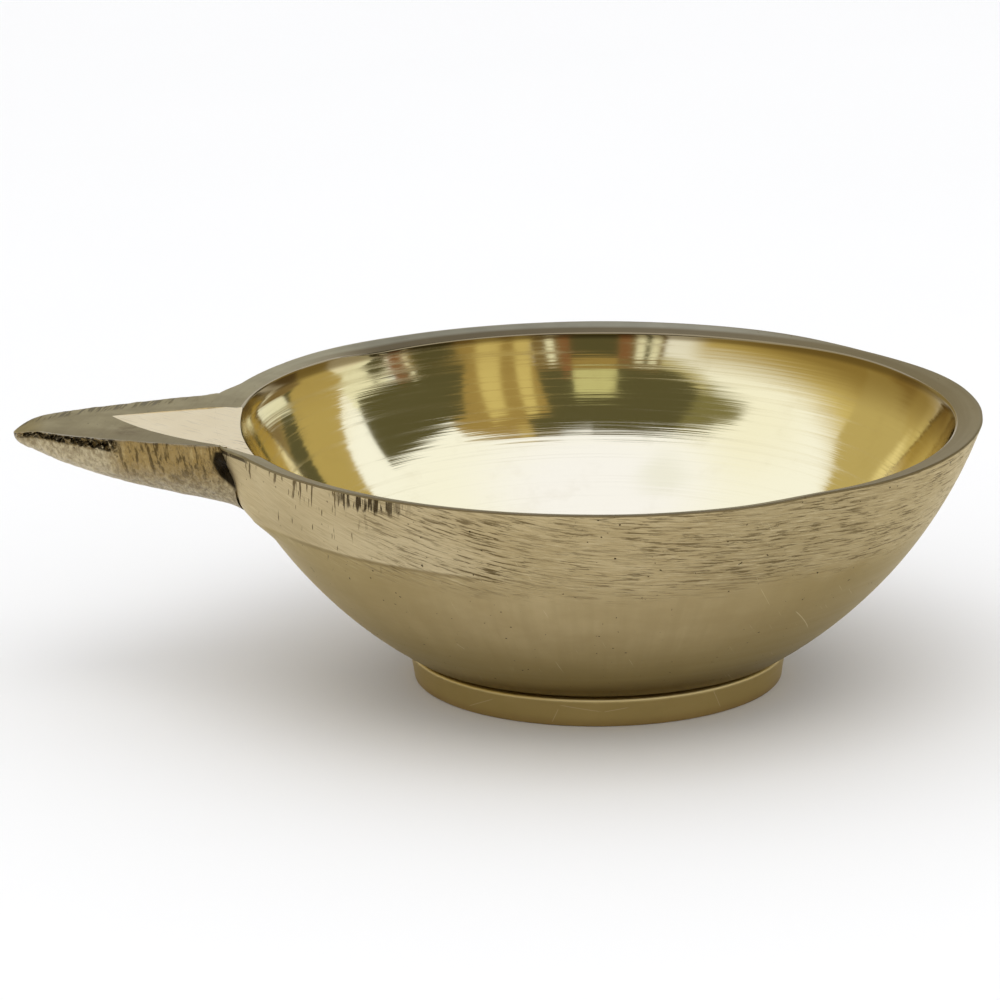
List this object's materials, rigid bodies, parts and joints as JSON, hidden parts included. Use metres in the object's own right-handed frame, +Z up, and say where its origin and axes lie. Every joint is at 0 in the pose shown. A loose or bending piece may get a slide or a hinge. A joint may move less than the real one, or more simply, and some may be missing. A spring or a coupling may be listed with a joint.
{
  "type": "diya oil lamp",
  "caption": "Small cast brass oil lamp: round polished bowl on a low foot ring, with a leaf-shaped spout and a shallow wick channel.",
  "frame": {"origin": "middle of the lamp's overall length and width, in the plane it stands on; the bowl's axis is 9 mm along +X from it", "axes": "+Z up, parallel to the bowl's axis, -X along the spout towards its tip, +Y to the shallow side of the wick channel"},
  "size_m": [0.0884, 0.0704, 0.0248],
  "materials": {
    "turned_brass": "mirror-polished turned inside, ground satin rim, satin turned outside with a hand-filed band below the rim",
    "filed_brass": "rough as-cast sides with pits along the upper edge, ground satin top, pale scraped wick channel",
    "foot_brass": "satin turned, darker and yellower than the bowl, bright upper edge, a few hair scratches"
  },
  "bodies": {
    "root": {"bowl": "turned_brass", "spout": "filed_brass", "foot_ring": "foot_brass"}
  },
  "joints": []
}
